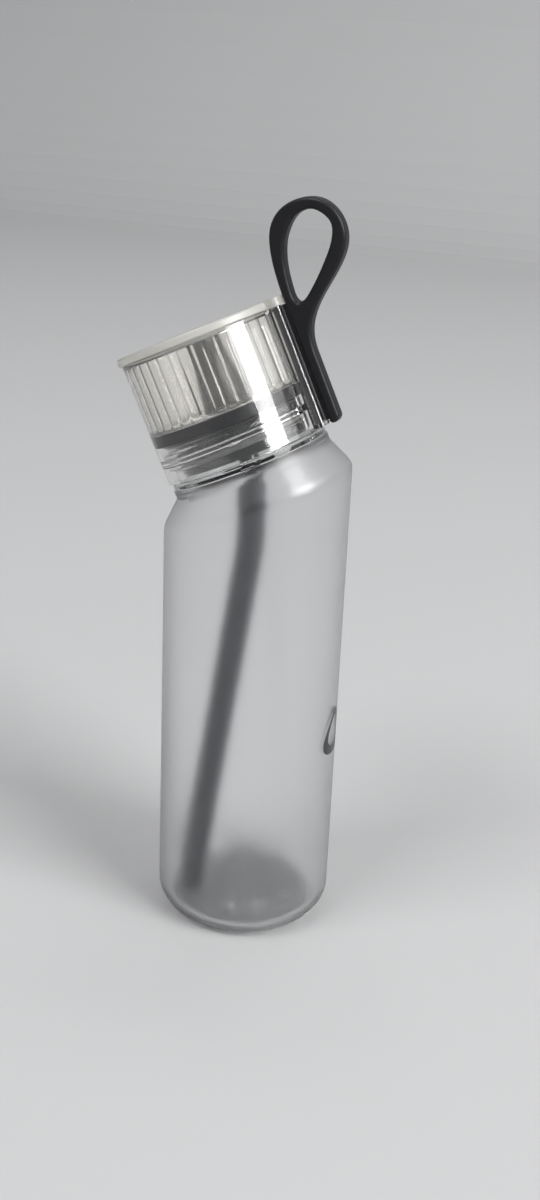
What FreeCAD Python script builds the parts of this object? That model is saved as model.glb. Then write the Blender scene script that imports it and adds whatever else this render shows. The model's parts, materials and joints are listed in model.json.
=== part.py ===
"""Tilted-neck drinking bottle with a screw cap, a carry loop and a drinking straw.

Frame: the origin is the centre of the base, +Z is up, the neck leans towards -X and the
carry loop is on the +X side. The neck and everything on it is built in the neck frame,
whose Z axis is the slanted neck axis.
"""

import FreeCAD
import Part
import math
import os

import Sketcher
from FreeCAD import Placement, Rotation, Vector

doc = FreeCAD.newDocument("drinking_bottle")
sheet = doc.addObject("Spreadsheet::Sheet", "Sheet")

# Sketch numbering of FreeCAD: the origin point, and the two ends of an edge.
ORIGIN = -1
START = 1
END = 2
CENTRE = 3


class Size:
    """A length or angle that carries its spreadsheet expression and its value."""

    def __init__(self, text, value):
        self.text = text
        self.value = float(value)

    def __add__(self, other):
        other = as_size(other)
        return Size("(%s + %s)" % (self.text, other.text), self.value + other.value)

    def __sub__(self, other):
        other = as_size(other)
        return Size("(%s - %s)" % (self.text, other.text), self.value - other.value)

    def __mul__(self, other):
        other = as_size(other)
        return Size("(%s * %s)" % (self.text, other.text), self.value * other.value)

    def __truediv__(self, other):
        other = as_size(other)
        return Size("(%s / %s)" % (self.text, other.text), self.value / other.value)

    def __neg__(self):
        return self * -1

    __radd__ = __add__
    __rmul__ = __mul__

    def __rsub__(self, other):
        return as_size(other) - self


def as_size(number):
    """Lets plain numbers stand in a sum of sizes."""
    if isinstance(number, Size):
        return number
    return Size("%r" % float(number), number)


def sine(angle):
    return Size("sin(%s * 1deg)" % angle.text, math.sin(math.radians(angle.value)))


def cosine(angle):
    return Size("cos(%s * 1deg)" % angle.text, math.cos(math.radians(angle.value)))


def tangent(angle):
    return Size("tan(%s * 1deg)" % angle.text, math.tan(math.radians(angle.value)))


def driving(alias, value):
    """Writes one driving dimension to the next row of the sheet."""
    driving.row += 1
    cell = "B%d" % driving.row
    sheet.set("A%d" % driving.row, alias)
    sheet.set(cell, str(value))
    sheet.setAlias(cell, alias)
    return Size("Sheet.%s" % alias, value)


driving.row = 0

# Bottle body
body_radius = driving("body_radius", 32.5)
wall = driving("wall", 1.6)
floor = driving("floor", 2.4)
base_round = driving("base_round", 10)
punt_radius = driving("punt_radius", 17)
punt_depth = driving("punt_depth", 3)
crease_height = driving("crease_height", 164.2)
crease_tilt = driving("crease_tilt", 23.1)
shoulder_round = driving("shoulder_round", 2.5)

# Slanted neck
tilt = driving("tilt", 25.7)
neck_height = driving("neck_height", 163.6)
neck_offset = driving("neck_offset", 2.5)
shoulder_rise = driving("shoulder_rise", 10.3)
collar_radius = driving("collar_radius", 28.5)
collar_top = driving("collar_top", 15.2)
neck_radius = driving("neck_radius", 25.6)
neck_bore = driving("neck_bore", 23.4)
rim_rise = driving("rim_rise", 28)
collar_step = driving("collar_step", 0.35)
collar_band = driving("collar_band", 3)

# Screw thread
thread_pitch = driving("thread_pitch", 4)
thread_depth = driving("thread_depth", 1.8)
cap_thread_depth = driving("cap_thread_depth", 1.1)
thread_foot = driving("thread_foot", 3.2)
cap_thread_foot = driving("cap_thread_foot", 2.4)
thread_crest = driving("thread_crest", 1)
thread_start = driving("thread_start", 18.6)
neck_turns = driving("neck_turns", 1.9)
cap_turns = driving("cap_turns", 1.5)

# Cap
cap_radius = driving("cap_radius", 29.2)
cap_bore = driving("cap_bore", 27.9)
cap_foot = driving("cap_foot", 15.8)
cap_top = driving("cap_top", 59)
ledge_rise = driving("ledge_rise", 33.4)
ledge_width = driving("ledge_width", 0.8)
flute_radius = driving("flute_radius", 1)
flute_depth = driving("flute_depth", 0.22)
flute_foot = driving("flute_foot", 35.2)
flute_count = 40
disc_radius = driving("disc_radius", 30.2)
disc_thickness = driving("disc_thickness", 2.8)
disc_round = driving("disc_round", 0.7)
spigot_depth = driving("spigot_depth", 1.4)
fit_gap = driving("fit_gap", 0.1)
edge_break = driving("edge_break", 0.5)

# Channel on the side of the cap, and the carry loop held in it
boss_reach = driving("boss_reach", 33.7)
boss_width = driving("boss_width", 12.4)
boss_foot = driving("boss_foot", 16.8)
channel_floor = driving("channel_floor", 18)
channel_back = driving("channel_back", 30.3)
lip = driving("lip", 0.9)
slide_gap = driving("slide_gap", 0.3)
head_width = driving("head_width", 9)
loop_thickness = driving("loop_thickness", 5)
web_reach = driving("web_reach", 4.6)
loop_round = driving("loop_round", 1.25)
boss_round = driving("boss_round", 1.5)
tab_overhang = driving("tab_overhang", 0.3)
tab_round = driving("tab_round", 2)
loop_heel = driving("loop_heel", 2.4)
loop_toe = driving("loop_toe", 1.4)
web_foot = driving("web_foot", 16.4)
waist = driving("waist", 40)
loop_rise = driving("loop_rise", 2)
plate_gap = driving("plate_gap", 0.6)

# Straw, its elbow and the stopper that carries them
flange_radius = driving("flange_radius", 26.6)
flange_top = driving("flange_top", 32.6)
gasket_thickness = driving("gasket_thickness", 0.9)
seal_foot = driving("seal_foot", 29)
seal_lip = driving("seal_lip", 4.6)
plug_foot = driving("plug_foot", 17)
plug_radius = driving("plug_radius", 23)
plug_wall = driving("plug_wall", 2.6)
plate_thickness = driving("plate_thickness", 2.4)
groove_foot = driving("groove_foot", 20.5)
groove_height = driving("groove_height", 3)
groove_depth = driving("groove_depth", 1.3)
ring_lip = driving("ring_lip", 0.7)
ring_gap = driving("ring_gap", 0.08)
socket_wall = driving("socket_wall", 2)
socket_depth = driving("socket_depth", 8)
socket_inset = driving("socket_inset", 0.6)
elbow_radius = driving("elbow_radius", 3.6)
elbow_bore = driving("elbow_bore", 2.6)
elbow_bend = driving("elbow_bend", 25)
elbow_foot = driving("elbow_foot", 157)
straw_radius = driving("straw_radius", 5)
straw_bore = driving("straw_bore", 3.7)
straw_x = driving("straw_x", -2)
straw_bend = driving("straw_bend", 70)
straw_bend_top = driving("straw_bend_top", 150)
straw_lean = driving("straw_lean", 7.75)
straw_foot = driving("straw_foot", 5.2)
straw_heading = driving("straw_heading", 208.7)
spout_foot_radius = driving("spout_foot_radius", 10)
spout_tip_radius = driving("spout_tip_radius", 5.6)
spout_bore = driving("spout_bore", 2.8)
spout_tip = driving("spout_tip", 56)
spout_round = driving("spout_round", 1.6)
spout_shelf = driving("spout_shelf", 1.8)
spout_step = driving("spout_step", 1.3)
valve_offset = driving("valve_offset", -15)
valve_radius = driving("valve_radius", 3)
valve_stem = driving("valve_stem", 1.3)
valve_barb = driving("valve_barb", 0.9)
valve_dome = driving("valve_dome", 1.2)
valve_point = driving("valve_point", 0.5)
valve_reach = driving("valve_reach", 2.2)

doc.recompute()

SPAN = 90  # a length that reaches past the whole neck, for cutting tools
OVERLAP = 0.3  # how far an added feature is sunk into the one that carries it
NEAR = 0.1  # how closely a picked edge lies on the place it is looked for


def bind(thing, path, size):
    """Sets a property from a size and ties it to the sheet."""
    if isinstance(size, Size):
        thing.setExpression(path, size.text)
    else:
        setattr(thing, path, size)


def neck_point(across, along):
    """World x and z of a point in the plane of symmetry of the neck frame."""
    x = neck_offset + across * cosine(tilt) - along * sine(tilt)
    z = neck_height + across * sine(tilt) + along * cosine(tilt)
    return x, z


def place_on_neck(thing, across=0, along=0):
    """Puts a sub-part's own Z axis on the slanted neck axis."""
    x, z = neck_point(as_size(across), as_size(along))
    thing.Placement = Placement(Vector(x.value, 0, z.value), Rotation(Vector(0, -1, 0), tilt.value))
    bind(thing, "Placement.Base.x", x)
    bind(thing, "Placement.Base.z", z)
    bind(thing, "Placement.Rotation.Angle", tilt)


def place_on_crease(thing, across, along):
    """Puts a tool of the vessel on the slanted plane where the body meets the shoulder."""
    x = across * cosine(crease_tilt) - along * sine(crease_tilt)
    z = crease_height + across * sine(crease_tilt) + along * cosine(crease_tilt)
    thing.Placement = Placement(Vector(x.value, 0, z.value), Rotation(Vector(0, -1, 0), crease_tilt.value))
    bind(thing, "Placement.Base.x", x)
    bind(thing, "Placement.Base.z", z)
    bind(thing, "Placement.Rotation.Angle", crease_tilt)


def new_body(name):
    body = doc.addObject("PartDesign::Body", name)
    body.Label = name
    return body


def origin_plane(body, role):
    return [plane for plane in body.Origin.OriginFeatures if plane.Role == role][0]


def new_sketch(body, name, role, rise=None):
    """A sketch on one of the body's own planes, raised along its normal by rise."""
    sketch = body.newObject("Sketcher::SketchObject", name)
    sketch.AttachmentSupport = [(origin_plane(body, role), "")]
    sketch.MapMode = "FlatFace"
    if rise is not None:
        sketch.AttachmentOffset = Placement(Vector(0, 0, as_size(rise).value), Rotation())
        sketch.setExpression("AttachmentOffset.Base.z", as_size(rise).text)
    return sketch


def pin_point(sketch, edge, end, x, y):
    """Fixes a sketch point at bound distances from the sketch's origin."""
    for kind, size in (("DistanceX", as_size(x)), ("DistanceY", as_size(y))):
        number = sketch.addConstraint(Sketcher.Constraint(kind, ORIGIN, 1, edge, end, size.value))
        sketch.setExpression("Constraints[%d]" % number, size.text)


def arc_between(first, last, radius):
    """An arc from first to last; it bulges to the right of travel when radius is positive."""
    chord = last - first
    middle = (first + last) * 0.5
    side = Vector(-chord.y, chord.x, 0).normalize()
    depth = math.sqrt(max(radius * radius - chord.Length ** 2 / 4, 0.0))
    centre = middle + side * (depth if radius > 0 else -depth)
    circle = Part.Circle(centre, Vector(0, 0, 1), abs(radius))
    begin = math.atan2(first.y - centre.y, first.x - centre.x)
    finish = math.atan2(last.y - centre.y, last.x - centre.x)
    if radius > 0:
        return Part.ArcOfCircle(circle, begin, finish), START, END
    return Part.ArcOfCircle(circle, finish, begin), END, START


def draw(sketch, corners, closed=True):
    """Draws straight edges, and arcs where a corner names the radius of the edge after it."""
    points = [Vector(as_size(c[0]).value, as_size(c[1]).value, 0) for c in corners]
    count = len(corners) if closed else len(corners) - 1
    ends = []
    for number in range(count):
        after = (number + 1) % len(corners)
        if len(corners[number]) > 2:
            radius = as_size(corners[number][2])
            shape, begin, finish = arc_between(points[number], points[after], radius.value)
            edge = sketch.addGeometry(shape)
            rule = sketch.addConstraint(Sketcher.Constraint("Radius", edge, abs(radius.value)))
            sketch.setExpression("Constraints[%d]" % rule, "abs(%s)" % radius.text)
        else:
            edge = sketch.addGeometry(Part.LineSegment(points[number], points[after]))
            begin, finish = START, END
        ends.append((edge, begin, finish))
    for number in range(count):
        edge, begin, finish = ends[number]
        pin_point(sketch, edge, begin, corners[number][0], corners[number][1])
        if closed or number + 1 < count:
            following = ends[(number + 1) % count]
            sketch.addConstraint(
                Sketcher.Constraint("Coincident", edge, finish, following[0], following[1])
            )
        else:
            pin_point(sketch, edge, finish, corners[-1][0], corners[-1][1])


def guided_curve(guides):
    """A smooth open curve that leaves and ends along the first and last pair of its guides."""
    curve = Part.BSplineCurve()
    curve.buildFromPoles(guides, False, 3)
    return curve


def closed_curve(points):
    """A smooth closed curve through the points."""
    curve = Part.BSplineCurve()
    curve.interpolate(Points=points, PeriodicFlag=True)
    return curve


def draw_circle(sketch, x, y, radius):
    radius = as_size(radius)
    x = as_size(x)
    y = as_size(y)
    circle = Part.Circle(Vector(x.value, y.value, 0), Vector(0, 0, 1), radius.value)
    edge = sketch.addGeometry(circle)
    rule = sketch.addConstraint(Sketcher.Constraint("Radius", edge, radius.value))
    sketch.setExpression("Constraints[%d]" % rule, radius.text)
    pin_point(sketch, edge, CENTRE, x, y)


def draw_block(sketch, low_x, high_x, half_width):
    """A rectangle that is symmetric about the sketch's x axis."""
    draw(
        sketch,
        [
            (low_x, -half_width),
            (high_x, -half_width),
            (high_x, half_width),
            (low_x, half_width),
        ],
    )


def revolve(body, name, corners):
    """A full turn of an outline about the body's own Z axis."""
    sketch = new_sketch(body, name + "_outline", "XZ_Plane")
    draw(sketch, corners)
    turned = body.newObject("PartDesign::Revolution", name)
    turned.Profile = sketch
    turned.ReferenceAxis = (sketch, ["V_Axis"])
    turned.Angle = 360
    return turned


def pad(body, name, sketch, length, symmetric=False):
    feature = body.newObject("PartDesign::Pad", name)
    feature.Profile = sketch
    if symmetric:
        feature.SideType = "Symmetric"
    bind(feature, "Length", length)
    return feature


def pocket(body, name, sketch, length):
    """A pocket that cuts along the normal of its sketch."""
    feature = body.newObject("PartDesign::Pocket", name)
    feature.Profile = sketch
    feature.Reversed = True
    bind(feature, "Length", length)
    return feature


def round_edges(body, name, wanted, radius):
    """Rounds the edges of the body's tip that the test wanted(edge) picks out."""
    doc.recompute()
    base = body.Tip
    picked = []
    for number, edge in enumerate(base.Shape.Edges):
        if wanted(edge):
            picked.append("Edge%d" % (number + 1))
    fillet = body.newObject("PartDesign::Fillet", name)
    fillet.Base = (base, picked)
    bind(fillet, "Radius", radius)
    return fillet


def thread(body, name, root, crest, foot_width, start, turns):
    """A helical ridge on the body; root and crest are the radii of its foot and its top."""
    buried = OVERLAP if crest.value > root.value else -OVERLAP
    foot = root - buried
    sketch = new_sketch(body, name + "_section", "XZ_Plane")
    corners = [
        (foot, start - foot_width / 2),
        (crest, start - thread_crest / 2),
        (crest, start + thread_crest / 2),
        (foot, start + foot_width / 2),
    ]
    draw(sketch, corners)
    ridge = body.newObject("PartDesign::AdditiveHelix", name)
    ridge.Profile = sketch
    ridge.ReferenceAxis = (sketch, ["V_Axis"])
    ridge.Mode = "pitch-turns-angle"
    bind(ridge, "Pitch", thread_pitch)
    bind(ridge, "Turns", turns)
    return ridge


def sweep(body, name, path_corners, section):
    """Sweeps a section, drawn at the path's lower end, along a path in the XZ plane."""
    path = new_sketch(body, name + "_path", "XZ_Plane")
    draw(path, path_corners, closed=False)
    feature = body.newObject("PartDesign::AdditivePipe", name)
    feature.Profile = section
    feature.Spine = (path, [])
    feature.Mode = "Frenet"
    return feature


def part_object(kind, name, **links):
    thing = doc.addObject(kind, name)
    for key, value in links.items():
        setattr(thing, key, value)
    return thing


def vessel(name, inset, floor_height, drop, top_radius):
    """The bottle's shape below the collar, as a solid set in by inset on every side."""
    radius = body_radius - inset
    corner = base_round - inset
    flat = body_radius - base_round
    ceiling = crease_height + body_radius
    punt = punt_radius - inset
    barrel = new_body(name + "_barrel")
    corners = [
        (0, punt_depth + floor_height),
        (punt - punt_depth, punt_depth + floor_height),
        (punt, floor_height),
        (flat, floor_height, corner),
        (radius, floor_height + corner),
        (radius, ceiling),
        (0, ceiling),
    ]
    revolve(barrel, name + "_turned", corners)
    trimmer = part_object("Part::Box", name + "_trimmer", Length=2 * SPAN, Width=2 * SPAN, Height=SPAN)
    place_on_crease(trimmer, as_size(-SPAN), -drop)
    trimmer.Placement.Base.y = -SPAN
    trimmed = part_object("Part::Cut", name + "_trimmed", Base=barrel, Tool=trimmer)
    oval = part_object("Part::Ellipse", name + "_oval")
    bind(oval, "MajorRadius", radius / cosine(crease_tilt))
    bind(oval, "MinorRadius", radius)
    place_on_crease(oval, -drop * tangent(crease_tilt), -drop)
    ring = part_object("Part::Circle", name + "_ring")
    bind(ring, "Radius", top_radius)
    place_on_neck(ring, 0, shoulder_rise)
    shoulder = part_object("Part::Loft", name + "_shoulder", Sections=[oval, ring], Solid=True)
    return part_object("Part::MultiFuse", name + "_solid", Shapes=[trimmed, shoulder], Refine=True)


def make_bottle():
    """Blown bottle in one piece: body, slanted shoulder, collar and threaded neck."""
    outside = vessel("outside", as_size(0), as_size(0), as_size(0), collar_radius)
    doc.recompute()
    picked = []
    for number, edge in enumerate(outside.Shape.Edges):
        box = edge.BoundBox
        if box.YLength > 1.9 * body_radius.value and box.ZLength > body_radius.value / 2:
            picked.append((number + 1, shoulder_round.value, shoulder_round.value))
    softened = part_object("Part::Fillet", "outside_softened", Base=outside, Edges=picked)
    collar_bore = collar_radius - wall
    inside = vessel("inside", wall, floor, wall / 2, collar_bore)
    shell = part_object("Part::Cut", "bottle_shell", Base=softened, Tool=inside)
    neck = new_body("bottle_neck")
    band_top = shoulder_rise + collar_band
    corners = [
        (collar_bore, shoulder_rise),
        (collar_radius, shoulder_rise),
        (collar_radius, band_top),
        (collar_radius - collar_step, band_top + collar_step),
        (collar_radius - collar_step, collar_top - collar_step),
        (collar_radius - 2 * collar_step, collar_top),
        (neck_radius, collar_top),
        (neck_radius, rim_rise),
        (neck_bore, rim_rise),
        (neck_bore, collar_top),
    ]
    revolve(neck, "neck_turned", corners)
    neck_crest = neck_radius + thread_depth
    thread(neck, "neck_thread", neck_radius, neck_crest, thread_foot, thread_start, neck_turns)
    place_on_neck(neck)
    bottle = part_object("Part::MultiFuse", "bottle", Shapes=[shell, neck], Refine=True)
    bottle.Label = "bottle"
    return bottle


def make_cap_shell():
    """Clear screw cap: fluted inside, with an internal thread and the channel for the loop."""
    cap = new_body("cap_shell")
    wall_top = cap_top - spigot_depth - fit_gap
    flute_axis = cap_bore - ledge_width + flute_radius - flute_depth
    corners = [
        (cap_bore, cap_foot),
        (cap_radius - edge_break, cap_foot),
        (cap_radius, cap_foot + edge_break),
        (cap_radius, cap_top),
        (cap_bore, cap_top),
        (cap_bore, wall_top),
        (cap_bore - ledge_width, wall_top),
        (cap_bore - ledge_width, ledge_rise),
        (cap_bore, ledge_rise),
    ]
    revolve(cap, "cap_turned", corners)
    cap_start = thread_start + thread_pitch / 2
    cap_crest = cap_bore - cap_thread_depth
    thread(cap, "cap_thread", cap_bore, cap_crest, cap_thread_foot, cap_start, cap_turns)
    flute_sketch = new_sketch(cap, "flute_section", "XY_Plane", flute_foot)
    draw_circle(flute_sketch, 0, flute_axis, flute_radius)
    flute = pad(cap, "flute", flute_sketch, wall_top - flute_foot)
    flutes = cap.newObject("PartDesign::PolarPattern", "flutes")
    flutes.Originals = [flute]
    flutes.Axis = (flute_sketch, ["N_Axis"])
    flutes.Angle = 360
    flutes.Occurrences = flute_count
    cap.Tip = flutes
    boss_sketch = new_sketch(cap, "boss_section", "XY_Plane", boss_foot)
    draw_block(boss_sketch, cap_bore + OVERLAP, boss_reach, boss_width / 2)
    pad(cap, "boss", boss_sketch, cap_top - boss_foot)
    round_edges(cap, "boss_rounded", is_boss_corner, boss_round)
    head_sketch = new_sketch(cap, "channel_section", "XY_Plane", channel_floor)
    draw_block(head_sketch, channel_back, boss_reach - lip, head_width / 2 + slide_gap)
    pocket(cap, "channel", head_sketch, cap_top - channel_floor)
    mouth_sketch = new_sketch(cap, "mouth_section", "XY_Plane", channel_floor)
    draw_block(mouth_sketch, boss_reach - 2 * lip, boss_reach + lip, loop_thickness / 2 + slide_gap)
    pocket(cap, "channel_mouth", mouth_sketch, cap_top - channel_floor)
    place_on_neck(cap)
    return cap


def is_boss_corner(edge):
    """The two long outer corners of the channel boss."""
    box = edge.BoundBox
    full_height = box.ZLength > (cap_top - boss_foot).value - NEAR
    return full_height and box.XMin > boss_reach.value - NEAR and box.XLength < NEAR


def make_cap_disc():
    """Round top plate of the cap, with a tab that closes the channel."""
    disc = new_body("cap_disc")
    disc_top = cap_top + disc_thickness
    spigot = cap_bore - fit_gap
    corners = [
        (0, cap_top - spigot_depth),
        (spigot, cap_top - spigot_depth),
        (spigot, cap_top + fit_gap),
        (disc_radius, cap_top + fit_gap),
        (disc_radius, disc_top),
        (0, disc_top),
    ]
    revolve(disc, "disc_turned", corners)
    tab_sketch = new_sketch(disc, "tab_section", "XY_Plane", cap_top + fit_gap)
    draw_block(tab_sketch, cap_bore, boss_reach + tab_overhang, boss_width / 2 + tab_overhang)
    pad(disc, "tab", tab_sketch, disc_thickness - fit_gap)
    round_edges(disc, "tab_rounded", is_tab_corner, tab_round)
    round_edges(disc, "disc_rounded", is_disc_rim, disc_round)
    place_on_neck(disc)
    return disc


def is_tab_corner(edge):
    """The two short outer corners of the disc's tab."""
    box = edge.BoundBox
    return box.XMin > boss_reach.value and box.XLength < NEAR and box.YLength < NEAR


def is_disc_rim(edge):
    """The edges around the top face of the disc."""
    box = edge.BoundBox
    return box.ZMin > (cap_top + disc_thickness).value - NEAR


def make_carry_loop():
    """Carry loop: a thin plate with a teardrop hole and a T-shaped rail on its inner edge."""
    loop = new_body("carry_loop")
    foot = channel_floor + slide_gap / 2
    rail_top = cap_top - slide_gap
    outline = new_sketch(loop, "loop_outline", "XZ_Plane")
    draw_web(outline)
    hole = [(6.5, -1.6), (9.8, 0), (17, 6), (23.4, 12.8), (25.3, 18.6), (21.3, 24.1)]
    hole += [(15, 24.4), (9, 19.4), (5.6, 12), (4.2, 3), (4.6, -0.7)]
    outline.addGeometry(closed_curve([loop_point(*pair) for pair in hole]))
    pad(loop, "plate", outline, loop_thickness, symmetric=True)
    round_edges(loop, "plate_rounded", is_loop_edge, loop_round)
    rail_face = boss_reach - lip - slide_gap
    rail_sketch = new_sketch(loop, "rail_section", "XY_Plane", foot)
    draw_block(rail_sketch, channel_back + slide_gap, rail_face, head_width / 2)
    pad(loop, "rail", rail_sketch, rail_top - foot)
    stem_sketch = new_sketch(loop, "stem_section", "XY_Plane", foot + 2 * loop_round)
    stem_end = boss_reach + web_reach / 2
    draw_block(stem_sketch, rail_face - OVERLAP, stem_end, loop_thickness / 2 - OVERLAP)
    pad(loop, "stem", stem_sketch, rail_top - foot - 2 * loop_round)
    place_on_neck(loop)
    return loop


def loop_point(out, up):
    """A point of the loop, measured from the channel's lips at the top of the cap."""
    return Vector(boss_reach.value + out, cap_top.value + up, 0)


def draw_web(sketch):
    """The plate's outer outline: web beside the cap, then the teardrop above it."""
    inner = boss_reach + plate_gap
    web_edge = boss_reach + web_reach
    neck_of_loop = cap_top + loop_rise
    corners = [
        (inner, neck_of_loop),
        (inner, web_foot + loop_toe, loop_toe),
        (inner + loop_toe, web_foot),
        (web_edge - loop_heel, web_foot, loop_heel),
        (web_edge, web_foot + loop_heel),
        (web_edge, waist),
    ]
    draw(sketch, corners, closed=False)
    guides = [(5.2, -10.9), (12.4, -2.4), (31.7, 9.3), (28.4, 27.1), (13.8, 30.6), (3, 24.8), (0.6, 8.4)]
    poles = [Vector(web_edge.value, waist.value + up, 0) for up in (0, 2.6)]
    poles += [loop_point(*pair) for pair in guides]
    poles += [Vector(inner.value, neck_of_loop.value + up, 0) for up in (1.6, 0)]
    edge = sketch.addGeometry(guided_curve(poles))
    pin_point(sketch, edge, START, web_edge, waist)
    pin_point(sketch, edge, END, inner, neck_of_loop)


def is_loop_edge(edge):
    """The edges around both flat faces of the plate."""
    box = edge.BoundBox
    return box.YLength < NEAR


def make_cap_seal():
    """Silicone ring under the cap's ledge, with a skirt round the stopper's flange."""
    ring = new_body("cap_seal")
    outer = cap_bore - fit_gap
    inner = outer - seal_lip
    skirt = flange_radius + 1.5 * fit_gap
    corners = [
        (inner, flange_top + fit_gap),
        (skirt, flange_top + fit_gap),
        (skirt, seal_foot),
        (outer, seal_foot),
        (outer, ledge_rise - fit_gap),
        (inner, ledge_rise - fit_gap),
    ]
    revolve(ring, "cap_seal_turned", corners)
    place_on_neck(ring)
    return ring


def make_stopper():
    """Plug in the bottle's mouth, with a wide flange and a socket for the straw's elbow."""
    stopper = new_body("stopper")
    flange_foot = rim_rise + gasket_thickness
    inner = plug_radius - plug_wall
    plate_foot = flange_top - plate_thickness
    socket_bore = elbow_radius + fit_gap
    socket_radius = socket_bore + socket_wall
    waist = plug_radius - groove_depth
    corners = [
        (elbow_bore, flange_top),
        (elbow_bore, plate_foot - socket_inset),
        (socket_bore, plate_foot - socket_inset),
        (socket_bore, plate_foot - socket_depth),
        (socket_radius, plate_foot - socket_depth),
        (socket_radius, plate_foot),
        (inner, plate_foot),
        (inner, plug_foot),
        (plug_radius - edge_break, plug_foot),
        (plug_radius, plug_foot + 2 * edge_break),
        (plug_radius, groove_foot),
        (waist, groove_foot),
        (waist, groove_foot + groove_height),
        (plug_radius, groove_foot + groove_height),
        (plug_radius, flange_foot),
        (flange_radius, flange_foot),
        (flange_radius, flange_top - edge_break),
        (flange_radius - edge_break, flange_top),
    ]
    revolve(stopper, "stopper_turned", corners)
    hole = new_sketch(stopper, "valve_hole_section", "XY_Plane", plate_foot - 1)
    draw_circle(hole, valve_offset, 0, valve_stem + fit_gap)
    pocket(stopper, "valve_hole", hole, plate_thickness + 2)
    place_on_neck(stopper)
    return stopper


def make_flange_gasket():
    """Silicone washer between the bottle's rim and the stopper's flange."""
    washer = new_body("flange_gasket")
    low = rim_rise + fit_gap / 2
    high = rim_rise + gasket_thickness - fit_gap / 2
    inner = plug_radius + 2 * fit_gap
    outer = flange_radius - 2 * fit_gap
    revolve(washer, "gasket_turned", [(inner, low), (outer, low), (outer, high), (inner, high)])
    place_on_neck(washer)
    return washer


def make_plug_ring():
    """Silicone sealing ring with two lips, in the plug's groove."""
    ring = new_body("plug_ring")
    low = groove_foot + fit_gap
    high = groove_foot + groove_height - fit_gap
    middle = (low + high) / 2
    inner = plug_radius - groove_depth + fit_gap
    crest = neck_bore - ring_gap
    valley = crest - ring_lip
    corners = [
        (inner, low),
        (valley, low),
        (crest, low + ring_lip),
        (valley, middle),
        (crest, high - ring_lip),
        (valley, high),
        (inner, high),
    ]
    revolve(ring, "plug_ring_turned", corners)
    place_on_neck(ring)
    return ring


def make_spout():
    """Soft conical mouthpiece on top of the stopper."""
    spout = new_body("mouthpiece")
    foot = flange_top + fit_gap
    shelf = foot + spout_shelf
    corners = [
        (spout_bore, foot),
        (spout_foot_radius, foot),
        (spout_foot_radius, shelf),
        (spout_foot_radius - spout_step, shelf),
        (spout_tip_radius, spout_tip - spout_round, spout_round),
        (spout_tip_radius - spout_round, spout_tip),
        (spout_bore, spout_tip),
    ]
    revolve(spout, "mouthpiece_turned", corners)
    place_on_neck(spout)
    return spout


def make_vent_valve():
    """Small silicone valve that lets air into the bottle through the stopper."""
    valve = new_body("vent_valve")
    plate_foot = flange_top - plate_thickness
    corners = [
        (0, plate_foot - valve_reach),
        (valve_point, plate_foot - valve_reach),
        (valve_stem + valve_barb, plate_foot - 4 * fit_gap),
        (valve_stem + valve_barb, plate_foot - fit_gap),
        (valve_stem, plate_foot - fit_gap),
        (valve_stem, flange_top + fit_gap),
        (valve_radius, flange_top + fit_gap),
        (valve_radius, flange_top + 5 * fit_gap),
        (0, flange_top + valve_dome),
    ]
    revolve(valve, "valve_turned", corners)
    place_on_neck(valve, valve_offset, 0)
    return valve


def make_elbow():
    """Stiff bent tube from the stopper's socket down into the top of the straw."""
    elbow = new_body("straw_elbow")
    section = new_sketch(elbow, "elbow_section", "XY_Plane", elbow_foot)
    draw_circle(section, straw_x, 0, elbow_radius)
    draw_circle(section, straw_x, 0, elbow_bore)
    crossing = (neck_offset - straw_x) / sine(tilt)
    reach = elbow_bend * tangent(tilt / 2)
    bend_x, bend_z = neck_point(as_size(0), crossing + reach)
    top_x, top_z = neck_point(as_size(0), flange_top - plate_thickness - 1)
    crossing_z = neck_point(as_size(0), crossing)[1]
    path = [
        (straw_x, elbow_foot),
        (straw_x, crossing_z - reach, elbow_bend),
        (bend_x, bend_z),
        (top_x, top_z),
    ]
    sweep(elbow, "elbow_swept", path, section)
    return elbow


def make_straw():
    """Flexible straw: hangs from the elbow, bends and leans to the bottle's wall at the base."""
    straw = new_body("straw")
    swing = 1 - cosine(straw_lean)
    bend_end_x = straw_bend * swing
    bend_end_z = straw_bend_top - straw_bend * sine(straw_lean)
    foot_x = bend_end_x + (bend_end_z - straw_foot) * tangent(straw_lean)
    crossing = (neck_offset - straw_x) / sine(tilt)
    crossing_z = neck_point(as_size(0), crossing)[1]
    straw_top = crossing_z - elbow_bend * tangent(tilt / 2)
    section = new_sketch(straw, "straw_section", "XY_Plane", straw_top)
    draw_circle(section, 0, 0, straw_radius)
    draw_circle(section, 0, 0, straw_bore)
    path = [
        (0, straw_top),
        (0, straw_bend_top, straw_bend),
        (bend_end_x, bend_end_z),
        (foot_x, straw_foot),
    ]
    sweep(straw, "straw_swept", path, section)
    heading = Rotation(Vector(0, 0, 1), straw_heading.value)
    straw.Placement = Placement(Vector(straw_x.value, 0, 0), heading)
    bind(straw, "Placement.Base.x", straw_x)
    bind(straw, "Placement.Rotation.Angle", straw_heading)
    return straw


def write_parts(parts):
    """Checks every object of the document, then writes one STEP file for each sub-part."""
    doc.recompute()
    for thing in doc.Objects:
        if "Invalid" in thing.State or "Error" in thing.State:
            raise RuntimeError("%s is in state %s" % (thing.Name, thing.State))
    os.makedirs("parts", exist_ok=True)
    for thing in parts:
        if thing.Shape.isNull() or not thing.Shape.isValid():
            raise RuntimeError("%s has no valid shape" % thing.Label)
        print(thing.Label, len(thing.Shape.Solids), round(thing.Shape.Volume, 1))
        thing.Shape.exportStep("parts/%s.step" % thing.Label)


write_parts(
    [
        make_bottle(),
        make_stopper(),
        make_flange_gasket(),
        make_plug_ring(),
        make_vent_valve(),
        make_spout(),
        make_elbow(),
        make_straw(),
        make_cap_seal(),
        make_cap_shell(),
        make_cap_disc(),
        make_carry_loop(),
    ]
)
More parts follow.
